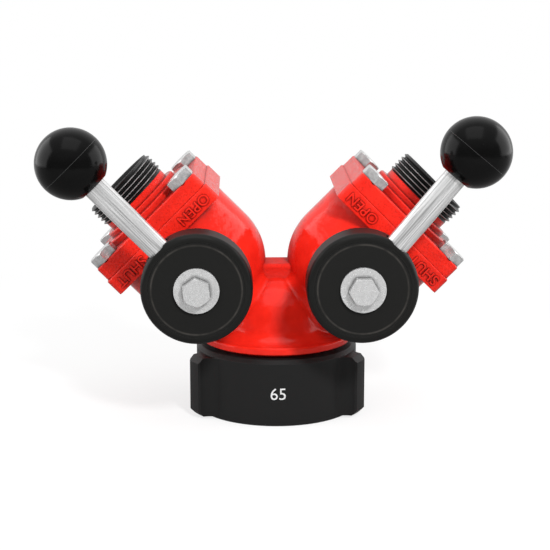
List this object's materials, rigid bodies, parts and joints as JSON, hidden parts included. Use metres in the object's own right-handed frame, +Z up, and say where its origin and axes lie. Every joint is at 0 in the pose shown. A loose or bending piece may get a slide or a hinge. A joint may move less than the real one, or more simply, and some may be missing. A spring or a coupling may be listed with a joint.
{
  "type": "fire hose wye",
  "caption": "Y-shaped fire hose fitting: a swivelling threaded inlet branches to slanted threaded outlets, each with a ball valve worked by a round hub, a rod and a ball knob.",
  "frame": {"origin": "centre of the inlet mouth, on the swivel's bottom face", "axes": "+Z up along the inlet's axis, legs leaning to -X and +X, handles on the -Y side"},
  "size_m": [0.2784, 0.1597, 0.1957],
  "materials": {
    "red_paint": "gloss",
    "black_anodised": "satin",
    "black_hub": "satin",
    "black_knob": "gloss",
    "bright_rod": "satin",
    "zinc_steel": "satin",
    "stainless": "satin",
    "chrome_ball": "polished",
    "white_plastic": "matte",
    "black_rubber": "matte"
  },
  "bodies": {
    "body": {"wye_body": "red_paint", "swivel_wire": "stainless", "left_outlet_adapter": "red_paint", "left_hose_nipple": "black_anodised", "left_flange_bolts": "zinc_steel", "left_flange_o_ring": "black_rubber", "left_inner_seat": "white_plastic", "left_outer_seat": "white_plastic", "left_stop_pin": "stainless", "right_outlet_adapter": "red_paint", "right_hose_nipple": "black_anodised", "right_flange_bolts": "zinc_steel", "right_flange_o_ring": "black_rubber", "right_inner_seat": "white_plastic", "right_outer_seat": "white_plastic", "right_stop_pin": "stainless"},
    "swivel": {"inlet_swivel": "black_anodised", "inlet_gasket": "black_rubber"},
    "left_valve": {"left_valve_ball": "chrome_ball", "left_valve_stem": "stainless", "left_thrust_washer": "white_plastic", "left_stem_o_rings": "black_rubber", "left_handle_hub": "black_hub", "left_hub_washer": "zinc_steel", "left_hub_bolt": "zinc_steel", "left_handle_rod": "bright_rod", "left_ball_knob": "black_knob"},
    "right_valve": {"right_valve_ball": "chrome_ball", "right_valve_stem": "stainless", "right_thrust_washer": "white_plastic", "right_stem_o_rings": "black_rubber", "right_handle_hub": "black_hub", "right_hub_washer": "zinc_steel", "right_hub_bolt": "zinc_steel", "right_handle_rod": "bright_rod", "right_ball_knob": "black_knob"}
  },
  "joints": [
    {"name": "swivel_turn", "type": "hinge", "parent": "body", "child": "swivel", "pos_m": [0, 0, 0.034], "axis": [0, 0, 1], "continuous": true},
    {"name": "left_valve_turn", "type": "hinge", "parent": "body", "child": "left_valve", "pos_m": [-0.04893, -0.0775, 0.09493], "axis": [0, -1, 0], "range_deg": [-4.9, 90.5]},
    {"name": "right_valve_turn", "type": "hinge", "parent": "body", "child": "right_valve", "pos_m": [0.04893, -0.0775, 0.09493], "axis": [0, 1, 0], "range_deg": [0, 95.4]}
  ]
}
